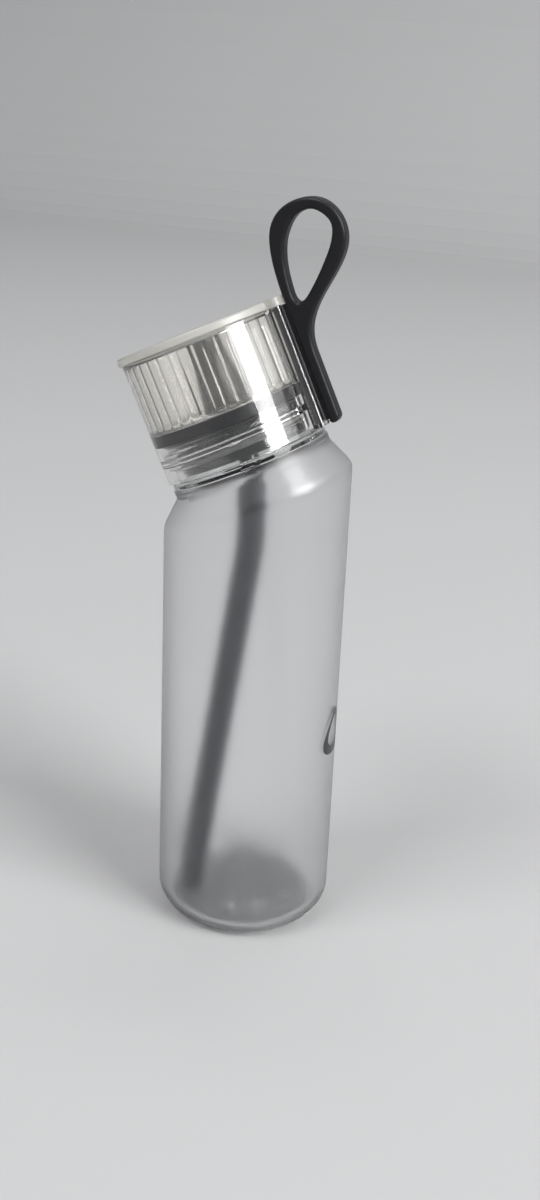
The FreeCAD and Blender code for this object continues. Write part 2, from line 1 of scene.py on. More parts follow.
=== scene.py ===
"""Blender scene of the tilted-neck drinking bottle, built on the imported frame.

Sizes are millimetres until a mesh is made. Pieces on the neck are drawn in the neck frame,
whose Z axis is the slanted neck axis; NECK turns that frame into the object's frame.
"""

import bmesh
import bpy
import json
import math
from mathutils import Matrix, Vector


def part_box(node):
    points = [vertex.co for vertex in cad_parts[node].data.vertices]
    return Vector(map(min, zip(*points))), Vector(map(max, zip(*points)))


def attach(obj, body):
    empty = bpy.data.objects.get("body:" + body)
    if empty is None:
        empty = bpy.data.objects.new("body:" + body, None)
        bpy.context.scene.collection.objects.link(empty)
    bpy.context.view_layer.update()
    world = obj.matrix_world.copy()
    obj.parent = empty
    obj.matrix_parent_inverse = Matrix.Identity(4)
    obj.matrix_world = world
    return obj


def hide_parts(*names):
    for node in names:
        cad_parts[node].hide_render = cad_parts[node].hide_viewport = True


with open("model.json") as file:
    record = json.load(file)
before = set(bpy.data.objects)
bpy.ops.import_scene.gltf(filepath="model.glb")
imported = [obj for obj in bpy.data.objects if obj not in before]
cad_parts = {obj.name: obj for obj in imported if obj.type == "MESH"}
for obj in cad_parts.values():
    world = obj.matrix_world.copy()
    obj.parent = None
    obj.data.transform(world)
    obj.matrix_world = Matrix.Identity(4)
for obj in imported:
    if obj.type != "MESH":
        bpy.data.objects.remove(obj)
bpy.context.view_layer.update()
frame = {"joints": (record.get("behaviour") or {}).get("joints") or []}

MM = 0.001
ROUND = 2 * math.pi

# The neck axis is the axis that the cap turns about.
turn = [joint for joint in frame["joints"] if joint["name"] == "cap_turn"][0]
axis = Vector(turn["axis"]).normalized()
TILT = math.atan2(-axis.x, axis.z)
NECK = Matrix.Translation(Vector(turn["pos_m"]) / MM) @ Matrix.Rotation(-TILT, 4, "Y")
BODY_R = min(-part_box("bottle")[0].y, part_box("bottle")[1].y) / MM
NECK_X = turn["pos_m"][0] / MM

# Bottle
CREASE_Z = 164.2
CREASE_TILT = math.radians(23.1)
WALL = 1.6
FLOOR = 2.4
BASE_ROUND = 10
PUNT_R = 17
PUNT_DEPTH = 3
PUNT_TOP_ROUND = 4
PUNT_EDGE_ROUND = 3
SHOULDER_RISE = 10.3
COLLAR_R = 28.5
COLLAR_TOP = 15.2
COLLAR_BAND = 3
COLLAR_STEP = 0.35
NECK_R = 25.6
NECK_BORE = 23.4
RIM = 28

# The crease is softened over this much of each side of it, outside and inside.
CREASE_SOFT = 2.2
CREASE_SOFT_INSIDE = 2

# Screw thread
PITCH = 4
THREAD_DEPTH = 1.8
CAP_THREAD_DEPTH = 1.1
THREAD_FOOT = 3.2
CAP_THREAD_FOOT = 2.4
THREAD_CREST = 1
THREAD_START = 18.6
NECK_TURNS = 1.9
CAP_TURNS = 1.5
THREAD_FADE = 0.12

# Cap
CAP_R = 29.2
CAP_BORE = 27.9
CAP_FOOT = 15.8
CAP_TOP = 59
LEDGE = 33.4
FLUTE_BASE = 27.1
FLUTE_FOOT = 35.2
FLUTE_R = 1
FLUTE_DEPTH = 0.22
FLUTES = 40
FLUTE_SCOOP = 1.2
DISC_R = 30.2
DISC_TOP = 61.8
SPIGOT = 1.4
BOSS_REACH = 33.7
BOSS_HALF = 6.2
BOSS_FOOT = 16.8
BOSS_ROUND = 1.5
OVERLAP = 0.3
CHANNEL_FOOT = 18
CHANNEL_BACK = 30.3
CHANNEL_HALF = 4.8
CHANNEL_ROUND = 0.4
MOUTH_HALF = 2.8
LIP = 0.9
TAB_LIP = 0.3
TAB_ROUND = 2

# Carry loop
LOOP_HALF = 2.5
LOOP_ROUND = 1.25
LOOP_SHAVE = 0.01
WEB_REACH = 4.6
WEB_FOOT = 16.4
WAIST = 40
LOOP_HEEL = 2.4
LOOP_TOE = 1.4
LOOP_RISE = 2
PLATE_GAP = 0.6

# Clearances: between fitted pieces, and between the loop's rail and its channel
GAP = 0.1
SLIDE_GAP = 0.3

# Stopper, seals and mouthpiece
FLANGE_R = 26.6
FLANGE_FOOT = 28.9
FLANGE_TOP = 32.6
PLATE_FOOT = 30.2
PLUG_R = 23
PLUG_WALL = 2.6
PLUG_FOOT = 17
GROOVE = 20.5
GROOVE_HEIGHT = 3
GROOVE_DEPTH = 1.3
SOCKET_WALL = 2
SOCKET_DEPTH = 8
SOCKET_INSET = 0.6
SEAL_FOOT = 29
SEAL_LIP = 4.6
RING_LIP = 0.6
RING_GAP = 0.08
SPOUT_BORE = 2.8
SPOUT_FOOT_R = 10
SPOUT_SHELF = 1.8
SPOUT_STEP = 1.3
SPOUT_TIP_R = 5.6
SPOUT_TIP = 56
VALVE_X = -15
VALVE_STEM = 1.3
VALVE_BARB = 0.9
VALVE_R = 3
VALVE_DOME = 1.2
VALVE_REACH = 2.2
VALVE_POINT = 0.5

# How far a soft seal sinks into the wall it is pressed against, so no air shows between them.
PRESSED = 0.05

# Elbow and straw
ELBOW_R = 3.6
ELBOW_BORE = 2.6
ELBOW_BEND = 25
ELBOW_FOOT = 157
STRAW_R = 5
STRAW_BORE = 3.7
STRAW_X = -2
STRAW_BEND = 70
STRAW_BEND_TOP = 150
STRAW_LEAN = 7.75
STRAW_FOOT = 5.2
STRAW_HEADING = 208.7

# Printed mark: height of its middle, half its height and width, half its line as a share of its
# size, the heading of its middle in degrees, and its taper towards the top, with the share of the
# full width that it has at its middle
MARK_Z = 78
MARK_HALF_HEIGHT = 9
MARK_HALF_WIDTH = 11
MARK_LINE = 0.17
MARK_HEADING = 7
MARK_TAPER = 0.42
MARK_MIDDLE_WIDTH = 0.78

# Refraction of the clear cap, the bottle wall, the cap's top plate and the straw
CAP_IOR = 1.58
BOTTLE_IOR = 1.4
PLATE_IOR = 1.5
STRAW_IOR = 1.42

# Relief of the finest grain, in metres
GRAIN_DEPTH = 0.0001

# Studio, in metres: what the lights aim at, and the floor with its backdrop
MIDDLE = (0, 0, 0.12)
FLOOR_FRONT = -3.0
FLOOR_BACK = 1.6
FLOOR_HALF_WIDTH = 4.0
BACKDROP_RISE = 3.0
BACKDROP_BEND = 0.6

# Lights: name, azimuth, elevation, distance, size across and up, power in watts
LIGHTS = [
    ("window", -17, 34, 3, (1.4, 2.2), 120),
    ("halo", -2, 36, 3.2, (2.2, 2.3), 30),
    ("fill", -120, 55, 3, (1.4, 0.8), 52),
    ("top", 100, 72, 3, (1.6, 0.5), 16),
]

# Camera, in metres: its place, what it aims at, its roll in degrees and its lens
CAMERA_PLACE = (0.18898, -0.44542, 0.31942)
CAMERA_AIM = (0.00363, 0.00681, 0.12220)
CAMERA_ROLL = 2.457
LENS = 43.5
SENSOR = 36

# Brightness of the surroundings at the horizon and overhead
HORIZON = 0.36
OVERHEAD = 0.6


# ---------------------------------------------------------------- mesh helpers


def shade_smooth(mesh, sharpest):
    """Smooth shading, broken only where faces meet at more than sharpest degrees."""
    mesh.polygons.foreach_set("use_smooth", [True] * len(mesh.polygons))
    mesh.set_sharp_from_angle(angle=math.radians(sharpest))


def finish_mesh(name, bm, body, materials, nodes=()):
    """Turns a bmesh drawn in millimetres into a smooth-shaded piece that rides on a body."""
    bmesh.ops.remove_doubles(bm, verts=bm.verts, dist=1e-4)
    bmesh.ops.recalc_face_normals(bm, faces=bm.faces)
    mesh = bpy.data.meshes.new(name)
    bm.to_mesh(mesh)
    bm.free()
    mesh.transform(Matrix.Scale(MM, 4))
    shade_smooth(mesh, 35)
    for look in materials:
        mesh.materials.append(look)
    piece = bpy.data.objects.new(name, mesh)
    bpy.context.scene.collection.objects.link(piece)
    flats = piece.modifiers.new("flat faces stay flat", "WEIGHTED_NORMAL")
    flats.keep_sharp = True
    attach(piece, body)
    if nodes:
        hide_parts(*nodes)
    return piece


def skin(bm, rings, closed_rows=False, inside_from=None):
    """Joins equal rings of points with quads; each ring closes on itself.

    Faces from the row inside_from onwards take the piece's second material.
    """
    rows = [[bm.verts.new(point) for point in ring] for ring in rings]
    pairs = list(zip(rows, rows[1:]))
    if closed_rows:
        pairs.append((rows[-1], rows[0]))
    for row, (low, high) in enumerate(pairs):
        for k in range(len(low)):
            after = (k + 1) % len(low)
            face = bm.faces.new((low[k], low[after], high[after], high[k]))
            if inside_from is not None and row >= inside_from:
                face.material_index = 1
    return rows


def rounded(corners, steps=4):
    """A closed outline with each corner (x, y, radius) turned into an arc."""
    points = []
    count = len(corners)
    for k, corner in enumerate(corners):
        here = Vector(corner[:2])
        radius = corner[2] if len(corner) > 2 else 0
        if radius == 0:
            points.append(here)
            continue
        back = (Vector(corners[k - 1][:2]) - here).normalized()
        ahead = (Vector(corners[(k + 1) % count][:2]) - here).normalized()
        half = back.angle(ahead) / 2
        reach = radius / math.tan(half)
        centre = here + (back + ahead).normalized() * (radius / math.sin(half))
        first = here + back * reach - centre
        last = here + ahead * reach - centre
        for step in range(steps + 1):
            mix = step / steps
            points.append(centre + first.slerp(last, mix) * radius)
    return points


def lathe(name, corners, body, material, nodes=(), matrix=NECK, sides=128):
    """A closed outline (radius, height, corner radius) turned about the Z axis of matrix."""
    bm = bmesh.new()
    rings = []
    for point in rounded(corners):
        ring = []
        for k in range(sides):
            a = ROUND * k / sides
            ring.append(matrix @ Vector((point.x * math.cos(a), point.x * math.sin(a), point.y)))
        rings.append(ring)
    skin(bm, rings, closed_rows=True)
    return finish_mesh(name, bm, body, [material], nodes)


def smoothstep(value):
    """0 below 0, 1 above 1, and a smooth rise between."""
    value = min(max(value, 0.0), 1.0)
    return value * value * (3 - 2 * value)


def ridge(angle, height, start, turns, foot_width):
    """How far a helical thread stands out at a point of its wall, from 0 to 1."""
    phase = (height - start) / PITCH - angle / ROUND
    turn_number = round(phase)
    away = abs(phase - turn_number) * PITCH
    along = angle / ROUND + turn_number
    flank = (foot_width - 2 * away) / (foot_width - THREAD_CREST)
    runout = smoothstep(along / THREAD_FADE) * smoothstep((turns - along) / THREAD_FADE)
    return smoothstep(flank) * runout


def span(low, high, step):
    """Evenly spaced numbers from low to high, about step apart."""
    count = max(1, round(abs(high - low) / step))
    return [low + (high - low) * k / count for k in range(count + 1)]


# ---------------------------------------------------------------- bottle


def flat_ring(radius, height, sides):
    """Points of a level circle about the body's axis."""
    ring = []
    for k in range(sides):
        a = ROUND * k / sides
        ring.append(Vector((radius * math.cos(a), radius * math.sin(a), height)))
    return ring


def neck_ring(radius, height, sides):
    """Points of a circle about the neck axis."""
    return [NECK @ point for point in flat_ring(radius, height, sides)]


def mix_rings(first, last, amount):
    """A ring part of the way from one ring to another."""
    return [a.lerp(b, amount) for a, b in zip(first, last)]


def bend_rings(first, corner, last, steps):
    """Rings along a soft bend that starts at first, aims at corner and ends at last."""
    rings = []
    for step in range(steps + 1):
        t = step / steps
        rings.append(
            [
                a * (1 - t) ** 2 + b * (2 * t * (1 - t)) + c * t * t
                for a, b, c in zip(first, corner, last)
            ]
        )
    return rings


def vessel_rings(inset, floor_height, drop, top_radius, soft, sides):
    """Rings from the middle of the base up to the collar, set in by inset."""
    radius = BODY_R - inset
    corner = BASE_ROUND - inset
    punt = PUNT_R - inset
    outline = [
        (0, PUNT_DEPTH + floor_height),
        (punt - PUNT_DEPTH, PUNT_DEPTH + floor_height, PUNT_TOP_ROUND),
        (punt, floor_height, PUNT_EDGE_ROUND),
        (radius, floor_height, corner),
        (radius, 60),
        (0, 60),
    ]
    rings = [flat_ring(p.x, p.y, sides) for p in rounded(outline, 10)[:-1]]
    edge = []
    for point in flat_ring(radius, 0, sides):
        height = CREASE_Z + point.x * math.tan(CREASE_TILT) - drop / math.cos(CREASE_TILT)
        edge.append(Vector((point.x, point.y, height)))
    top = neck_ring(top_radius, SHOULDER_RISE, sides)
    below = [Vector((p.x, p.y, p.z - soft)) for p in edge]
    above = [a + (b - a).normalized() * soft for a, b in zip(edge, top)]
    start = rings[-1]
    for amount in span(0, 1, 1 / 14)[1:-1]:
        rings.append(mix_rings(start, below, amount))
    rings += bend_rings(below, edge, above, 8)
    for amount in span(0, 1, 1 / 4)[1:-1]:
        rings.append(mix_rings(above, top, amount))
    return rings


def make_bottle(frosted, inner):
    """Bottle wall in one piece: body, shoulder, collar and neck, outside and inside."""
    sides = 256
    rings = vessel_rings(0, 0, 0, COLLAR_R, CREASE_SOFT, sides)
    step = COLLAR_STEP
    band_top = SHOULDER_RISE + COLLAR_BAND
    collar = [
        (COLLAR_R, SHOULDER_RISE),
        (COLLAR_R, band_top - 0.2),
        (COLLAR_R - 0.1, band_top),
        (COLLAR_R - step, band_top + 0.25),
        (COLLAR_R - step, band_top + 0.6),
        (COLLAR_R - step, COLLAR_TOP - 0.6),
        (COLLAR_R - step - 0.2, COLLAR_TOP - 0.15),
        (COLLAR_R - step - 0.6, COLLAR_TOP),
        (NECK_R + 0.5, COLLAR_TOP),
        (NECK_R + 0.12, COLLAR_TOP + 0.15),
        (NECK_R, COLLAR_TOP + 0.5),
    ]
    rings += [neck_ring(radius, height, sides) for radius, height in collar]
    for height in span(COLLAR_TOP + 0.8, RIM - 0.5, 0.15):
        ring = []
        for k in range(sides):
            a = ROUND * k / sides
            out = ridge(a, height, THREAD_START, NECK_TURNS, THREAD_FOOT)
            radius = NECK_R + THREAD_DEPTH * out
            ring.append(NECK @ Vector((radius * math.cos(a), radius * math.sin(a), height)))
        rings.append(ring)
    outer_rings = len(rings)
    rim = [(NECK_R - 0.15, RIM - 0.15), (NECK_R - 0.5, RIM), (NECK_BORE + 0.5, RIM)]
    rim += [(NECK_BORE + 0.15, RIM - 0.15), (NECK_BORE, RIM - 0.5), (NECK_BORE, COLLAR_TOP + 1)]
    rim += [(NECK_BORE + 0.3, COLLAR_TOP + 0.2), (COLLAR_R - WALL - 0.4, SHOULDER_RISE + 0.8)]
    rings += [neck_ring(radius, height, sides) for radius, height in rim]
    inside = vessel_rings(WALL, FLOOR, WALL / 2, COLLAR_R - WALL, CREASE_SOFT_INSIDE, sides)
    inside.append(neck_ring(COLLAR_R - WALL, SHOULDER_RISE, sides))
    rings += reversed(inside)
    bm = bmesh.new()
    skin(bm, rings, inside_from=outer_rings - 1)
    return finish_mesh("bottle_wall", bm, "bottle", [frosted, inner], ["bottle"])


# ---------------------------------------------------------------- cap


def flute_depth(angle):
    """How far the inner wall's rounded flutes stand in at an angle."""
    pitch = ROUND / FLUTES
    away = abs((angle + pitch / 2) % pitch - pitch / 2) * FLUTE_BASE
    return FLUTE_DEPTH * smoothstep(1 - away / FLUTE_R)


def make_cap(clear, satin_painted_warm):
    """Clear cap shell with its thread, ledge and flutes, and the loop's channel on its side."""
    sides = FLUTES * 18
    angles = [ROUND * k / sides for k in range(sides)]
    top = CAP_TOP
    under_spigot = CAP_TOP - SPIGOT - GAP

    def ring(radius_at, height):
        return [
            NECK @ Vector((radius_at(a) * math.cos(a), radius_at(a) * math.sin(a), height))
            for a in angles
        ]

    def plain(radius, height):
        return ring(lambda a: radius, height)

    rings = [plain(CAP_R - 0.5, CAP_FOOT), plain(CAP_R - 0.15, CAP_FOOT + 0.15)]
    rings += [plain(CAP_R, height) for height in span(CAP_FOOT + 0.5, top - 0.2, 4)]
    rings.append(plain(CAP_R - 0.2, top))
    rings += [plain(CAP_BORE, top), plain(CAP_BORE, under_spigot)]
    for height in span(under_spigot, FLUTE_FOOT + FLUTE_SCOOP, 3):
        rings.append(ring(lambda a: FLUTE_BASE - flute_depth(a), height))
    for lift in (0.9, 0.6, 0.35, 0.15, 0.05, 0):
        share = math.sqrt(1 - (1 - lift / FLUTE_SCOOP) ** 2)
        rings.append(ring(lambda a: FLUTE_BASE - share * flute_depth(a), FLUTE_FOOT + lift))
    rings += [plain(FLUTE_BASE, LEDGE), plain(CAP_BORE, LEDGE), plain(CAP_BORE, THREAD_START + 10.4)]
    start = THREAD_START + PITCH / 2

    def thread_wall(angle, height):
        return CAP_BORE - CAP_THREAD_DEPTH * ridge(angle, height, start, CAP_TURNS, CAP_THREAD_FOOT)

    for height in span(THREAD_START + 10.2, CAP_FOOT + 1, 0.18):
        rings.append(ring(lambda a: thread_wall(a, height), height))
    rings += [plain(CAP_BORE, CAP_FOOT + 0.4), plain(CAP_BORE + 0.4, CAP_FOOT)]
    bm = bmesh.new()
    skin(bm, rings, closed_rows=True)
    upright = NECK.inverted()
    # Faces of the fluted inner wall take the second material, satin plastic whose cream tint is painted
    # warm light.
    for face in bm.faces:
        middle = upright @ face.calc_center_median()
        if LEDGE < middle.z < under_spigot and middle.xy.length < CAP_BORE:
            face.material_index = 1
    cap = finish_mesh("cap_wall", bm, "cap", [clear, satin_painted_warm], ["cap_shell"])
    back = CAP_BORE + OVERLAP
    boss = block_piece(back, BOSS_REACH, BOSS_HALF, BOSS_FOOT, CAP_TOP - 0.05, BOSS_ROUND)
    combine(cap, boss, "UNION")
    reach = BOSS_REACH - LIP
    above = CAP_TOP + 3
    head = block_piece(CHANNEL_BACK, reach, CHANNEL_HALF, CHANNEL_FOOT, above, CHANNEL_ROUND)
    combine(cap, head, "DIFFERENCE")
    mouth = block_piece(reach - 1, BOSS_REACH + 3, MOUTH_HALF, CHANNEL_FOOT + 0.01, above, 0)
    combine(cap, mouth, "DIFFERENCE")
    shade_smooth(cap.data, 30)
    return cap


def block_piece(low, high, half, foot, top, radius):
    """An upright block in the neck frame with its outer long edges rounded, as a tool."""
    outline = rounded([(low, -half, 0), (high, -half, radius), (high, half, radius), (low, half, 0)], 6)
    bm = bmesh.new()
    rows = skin(bm, [[NECK @ Vector((p.x, p.y, height)) for p in outline] for height in (foot, top)])
    bm.faces.new(rows[0])
    bm.faces.new(rows[1])
    bmesh.ops.recalc_face_normals(bm, faces=bm.faces)
    mesh = bpy.data.meshes.new("tool")
    bm.to_mesh(mesh)
    bm.free()
    mesh.transform(Matrix.Scale(MM, 4))
    tool = bpy.data.objects.new("tool", mesh)
    bpy.context.scene.collection.objects.link(tool)
    return tool


def combine(piece, tool, operation):
    """Applies one boolean operation to a piece's mesh and removes the tool."""
    modifier = piece.modifiers.new("combine", "BOOLEAN")
    modifier.operation = operation
    modifier.object = tool
    modifier.solver = "EXACT"
    graph = bpy.context.evaluated_depsgraph_get()
    mesh = bpy.data.meshes.new_from_object(piece.evaluated_get(graph))
    piece.modifiers.remove(piece.modifiers["combine"])
    old = piece.data
    piece.data = mesh
    bpy.data.meshes.remove(old)
    bpy.data.objects.remove(tool)


def make_disc(material):
    """Top plate of the cap with a rounded rim, its spigot, and the tab over the channel."""
    spigot = CAP_BORE - GAP
    foot = CAP_TOP + GAP
    corners = [
        (0, CAP_TOP - SPIGOT),
        (spigot, CAP_TOP - SPIGOT, 0.2),
        (spigot, foot),
        (DISC_R, foot, 0.4),
        (DISC_R, DISC_TOP, 0.8),
        (0, DISC_TOP),
    ]
    disc = lathe("cap_plate", corners, "cap", material, ["cap_disc"], sides=256)
    reach = BOSS_REACH + TAB_LIP
    tab = block_piece(CAP_BORE, reach, BOSS_HALF + TAB_LIP, foot, DISC_TOP, TAB_ROUND)
    combine(disc, tab, "UNION")
    shade_smooth(disc.data, 30)
    return disc


# ---------------------------------------------------------------- carry loop


def loop_curve(points, order=4):
    """Points along a smooth curve through control points, all in the loop's plane."""
    data = bpy.data.curves.new("guide", "CURVE")
    data.dimensions = "3D"
    spline = data.splines.new("NURBS")
    spline.points.add(len(points) - 1)
    for place, point in zip(spline.points, points):
        place.co = (point[0], 0, point[1], 1)
    spline.order_u = order
    spline.use_endpoint_u = True
    spline.resolution_u = 12
    holder = bpy.data.objects.new("guide", data)
    bpy.context.scene.collection.objects.link(holder)
    mesh = bpy.data.meshes.new_from_object(holder)
    path = [Vector((v.co.x, v.co.z)) for v in mesh.vertices]
    bpy.data.objects.remove(holder)
    bpy.data.curves.remove(data)
    bpy.data.meshes.remove(mesh)
    return path


def plate_outline():
    """Outer edge of the loop's plate: web beside the cap, then the teardrop above it."""
    inner = BOSS_REACH + PLATE_GAP
    web = BOSS_REACH + WEB_REACH
    foot = WEB_FOOT
    rise = CAP_TOP + LOOP_RISE
    guides = [(5.2, -10.9), (12.4, -2.4), (31.7, 9.3), (28.4, 27.1), (13.8, 30.6), (3, 24.8), (0.6, 8.4)]
    poles = [(web, WAIST), (web, WAIST + 2.6)]
    poles += [(BOSS_REACH + x, CAP_TOP + y) for x, y in guides]
    poles += [(inner, CAP_TOP + 3.6), (inner, rise)]
    corners = [(inner, WAIST), (inner, foot, LOOP_TOE), (web, foot, LOOP_HEEL), (web, WAIST)]
    heel = rounded(corners, 8)[1:-1]
    side = [Vector((inner, height)) for height in span(rise, 20, 2)[1:]]
    front = [Vector((web, height)) for height in span(22, WAIST, 2)[:-1]]
    return side + heel + front + loop_curve(poles)


def through_points(points, steps=8):
    """A smooth closed curve through points (Catmull-Rom)."""
    path = []
    count = len(points)
    for k in range(count):
        before, here, ahead, far = [Vector(points[(k + j) % count]) for j in (-1, 0, 1, 2)]
        for step in range(steps):
            t = step / steps
            bend = (ahead - before) * t
            bend += (before * 2 - here * 5 + ahead * 4 - far) * t * t
            bend += (here * 3 - before - ahead * 3 + far) * t * t * t
            path.append(here + bend / 2)
    return path


def hole_outline():
    """Edge of the teardrop hole."""
    points = [(6.5, -1.6), (9.8, 0), (17, 6), (23.4, 12.8), (25.3, 18.6), (21.3, 24.1)]
    points += [(15, 24.4), (9, 19.4), (5.6, 12), (4.2, 3), (4.6, -0.7)]
    return through_points([(BOSS_REACH + x, CAP_TOP + y) for x, y in points])


def inset_outline(points, distance):
    """The outline moved to the left of its direction by distance."""
    moved = []
    for k, point in enumerate(points):
        along = (points[(k + 1) % len(points)] - points[k - 1]).normalized()
        moved.append(point + Vector((-along.y, along.x)) * distance)
    return moved


def tidy_outline(points):
    """Drops points that fall on top of the one before."""
    kept = []
    for point in points:
        if not kept or (point - kept[-1]).length > 0.02:
            kept.append(point)
    if (kept[0] - kept[-1]).length < 0.02:
        kept.pop()
    return kept


def make_loop(material):
    """Plate of the carry loop, with its teardrop hole and rounded edges."""
    bm = bmesh.new()
    borders = []
    steps = 6
    for outline, inward in ((plate_outline(), 1), (hole_outline(), -1)):
        points = tidy_outline(outline)
        rings = []
        for step in range(2 * steps + 2):
            front = step <= steps
            corner = step if front else step - steps - 1
            lift = math.radians(90 * (corner / steps if not front else 1 - corner / steps))
            offset = LOOP_SHAVE + LOOP_ROUND * (1 - math.cos(lift))
            depth = LOOP_HALF - LOOP_ROUND + LOOP_ROUND * math.sin(lift)
            y = -depth if front else depth
            shifted = inset_outline(points, offset * inward)
            rings.append([NECK @ Vector((p.x, y, p.y)) for p in shifted])
        borders.append(skin(bm, rings))
    for row in (0, -1):
        edges = []
        for border in borders:
            ring = border[row]
            for k in range(len(ring)):
                edges.append(bm.edges.get((ring[k - 1], ring[k])))
        bmesh.ops.triangle_fill(bm, use_beauty=True, edges=edges)
    return finish_mesh("carry_loop_plate", bm, "cap", [material], ["carry_loop"])


def make_rail(material):
    """T-head that slides in the channel, and the stem that joins it to the plate."""
    back = CHANNEL_BACK + SLIDE_GAP
    face = BOSS_REACH - LIP - SLIDE_GAP
    reach = BOSS_REACH + WEB_REACH / 2
    foot = CHANNEL_FOOT + SLIDE_GAP / 2
    head = CHANNEL_HALF - SLIDE_GAP
    stem = LOOP_HALF - SLIDE_GAP
    corners = [
        (back, -head, 0.5),
        (face, -head, 0.5),
        (face, -stem, 0.3),
        (reach, -stem),
        (reach, stem),
        (face, stem, 0.3),
        (face, head, 0.5),
        (back, head, 0.5),
    ]
    outline = rounded(corners, 5)
    bm = bmesh.new()
    rings = [[NECK @ Vector((p.x, p.y, h)) for p in outline] for h in (foot, CAP_TOP - SLIDE_GAP)]
    rows = skin(bm, rings)
    bm.faces.new(rows[0])
    bm.faces.new(rows[1])
    return finish_mesh("carry_loop_rail", bm, "cap", [material])


# ---------------------------------------------------------------- stopper, seals and mouthpiece


def make_insert(dark, rubber, grey):
    """Stopper, its seals, the vent valve and the mouthpiece."""
    socket = ELBOW_R + GAP
    waist = PLUG_R - GROOVE_DEPTH
    stopper = [
        (ELBOW_BORE, FLANGE_TOP),
        (ELBOW_BORE, PLATE_FOOT - SOCKET_INSET),
        (socket, PLATE_FOOT - SOCKET_INSET),
        (socket, PLATE_FOOT - SOCKET_DEPTH, 0.3),
        (socket + SOCKET_WALL, PLATE_FOOT - SOCKET_DEPTH, 0.4),
        (socket + SOCKET_WALL, PLATE_FOOT, 1),
        (PLUG_R - PLUG_WALL, PLATE_FOOT, 1),
        (PLUG_R - PLUG_WALL, PLUG_FOOT, 0.4),
        (PLUG_R - 0.5, PLUG_FOOT, 0.2),
        (PLUG_R, PLUG_FOOT + 1, 0.2),
        (PLUG_R, GROOVE, 0.2),
        (waist, GROOVE),
        (waist, GROOVE + GROOVE_HEIGHT),
        (PLUG_R, GROOVE + GROOVE_HEIGHT, 0.2),
        (PLUG_R, FLANGE_FOOT, 0.2),
        (FLANGE_R, FLANGE_FOOT, 0.3),
        (FLANGE_R, FLANGE_TOP, 0.5),
    ]
    lathe("stopper_plug", stopper, "bottle", dark, ["stopper"], sides=160)
    make_seals(rubber, grey)
    foot = FLANGE_TOP + GAP
    shelf = foot + SPOUT_SHELF
    spout = [
        (SPOUT_BORE, foot),
        (SPOUT_FOOT_R, foot, 0.4),
        (SPOUT_FOOT_R, shelf, 0.6),
        (SPOUT_FOOT_R - SPOUT_STEP, shelf, 0.4),
        (SPOUT_TIP_R, SPOUT_TIP - 1.2, 2),
        (SPOUT_TIP_R - 0.7, SPOUT_TIP, 0.8),
        (SPOUT_BORE, SPOUT_TIP, 0.8),
    ]
    lathe("mouthpiece_cone", spout, "bottle", rubber, ["mouthpiece"], sides=96)
    barb = VALVE_STEM + VALVE_BARB
    valve = [
        (0, PLATE_FOOT - VALVE_REACH),
        (VALVE_POINT, PLATE_FOOT - VALVE_REACH),
        (barb, PLATE_FOOT - 4 * GAP),
        (barb, PLATE_FOOT - GAP),
        (VALVE_STEM, PLATE_FOOT - GAP),
        (VALVE_STEM, foot),
        (VALVE_R, foot, 0.15),
        (VALVE_R, foot + 4 * GAP, 0.15),
        (VALVE_R / 2, FLANGE_TOP + VALVE_DOME, 0.5),
        (0, FLANGE_TOP + VALVE_DOME),
    ]
    place = NECK @ Matrix.Translation(Vector((VALVE_X, 0, 0)))
    lathe("vent_valve_cap", valve, "bottle", grey, ["vent_valve"], place, 48)


def make_seals(rubber, grey):
    """Washer under the flange, two-lip ring in the plug's groove, and the cap's dark seal."""
    inner = PLUG_R + 2 * GAP
    outer = FLANGE_R - 2 * GAP
    low = RIM + GAP / 2
    high = FLANGE_FOOT - GAP / 2
    gasket = [(inner, low), (outer, low, 0.3), (outer, high, 0.3), (inner, high)]
    lathe("rim_gasket", gasket, "bottle", rubber, ["flange_gasket"], sides=160)
    lip = RING_LIP
    inner = PLUG_R - GROOVE_DEPTH + 2 * GAP
    crest = NECK_BORE - RING_GAP
    low = GROOVE + GAP
    high = GROOVE + GROOVE_HEIGHT - GAP
    ring = [
        (inner, low),
        (crest - lip, low),
        (crest, low + lip, 0.2),
        (crest - lip, (low + high) / 2),
        (crest, high - lip, 0.2),
        (crest - lip, high),
        (inner, high),
    ]
    lathe("plug_seal", ring, "bottle", grey, ["plug_ring"], sides=160)
    inner = CAP_BORE - GAP - SEAL_LIP
    outer = CAP_BORE + PRESSED
    skirt = FLANGE_R + 1.5 * GAP
    seal = [
        (inner, FLANGE_TOP + GAP),
        (skirt, FLANGE_TOP + GAP),
        (skirt, SEAL_FOOT),
        (outer, SEAL_FOOT, 0.3),
        (outer, LEDGE - GAP, 0.3),
        (inner, LEDGE - GAP, 0.2),
    ]
    lathe("cap_seal_ring", seal, "cap_lifter", rubber, ["cap_seal"], sides=160)


# ---------------------------------------------------------------- straw


def tube(name, path, outer, inner, material, nodes, sides=48):
    """A tube along a path of (point, direction) pairs that lies in one upright plane."""
    across = None
    outside = []
    inside = []
    for point, along in path:
        if across is None:
            across = along.cross(Vector((along.y + 0.3, 1, 0.1))).normalized()
        across = (across - along * across.dot(along)).normalized()
        other = along.cross(across)
        circle = []
        for k in range(sides):
            a = ROUND * k / sides
            circle.append(across * math.cos(a) + other * math.sin(a))
        outside.append([point + way * outer for way in circle])
        inside.append([point + way * inner for way in circle])
    first, last = path[0], path[-1]
    bm = bmesh.new()
    lip_in = (outer - inner) / 4
    begin = [p - (p - first[0]).normalized() * lip_in for p in outside[0]]
    end = [p - (p - last[0]).normalized() * lip_in for p in outside[-1]]
    outside[0] = [p + first[1] * lip_in for p in outside[0]]
    outside[-1] = [p - last[1] * lip_in for p in outside[-1]]
    skin(bm, [begin] + outside + [end] + list(reversed(inside)), closed_rows=True)
    return finish_mesh(name, bm, "bottle", [material], nodes)


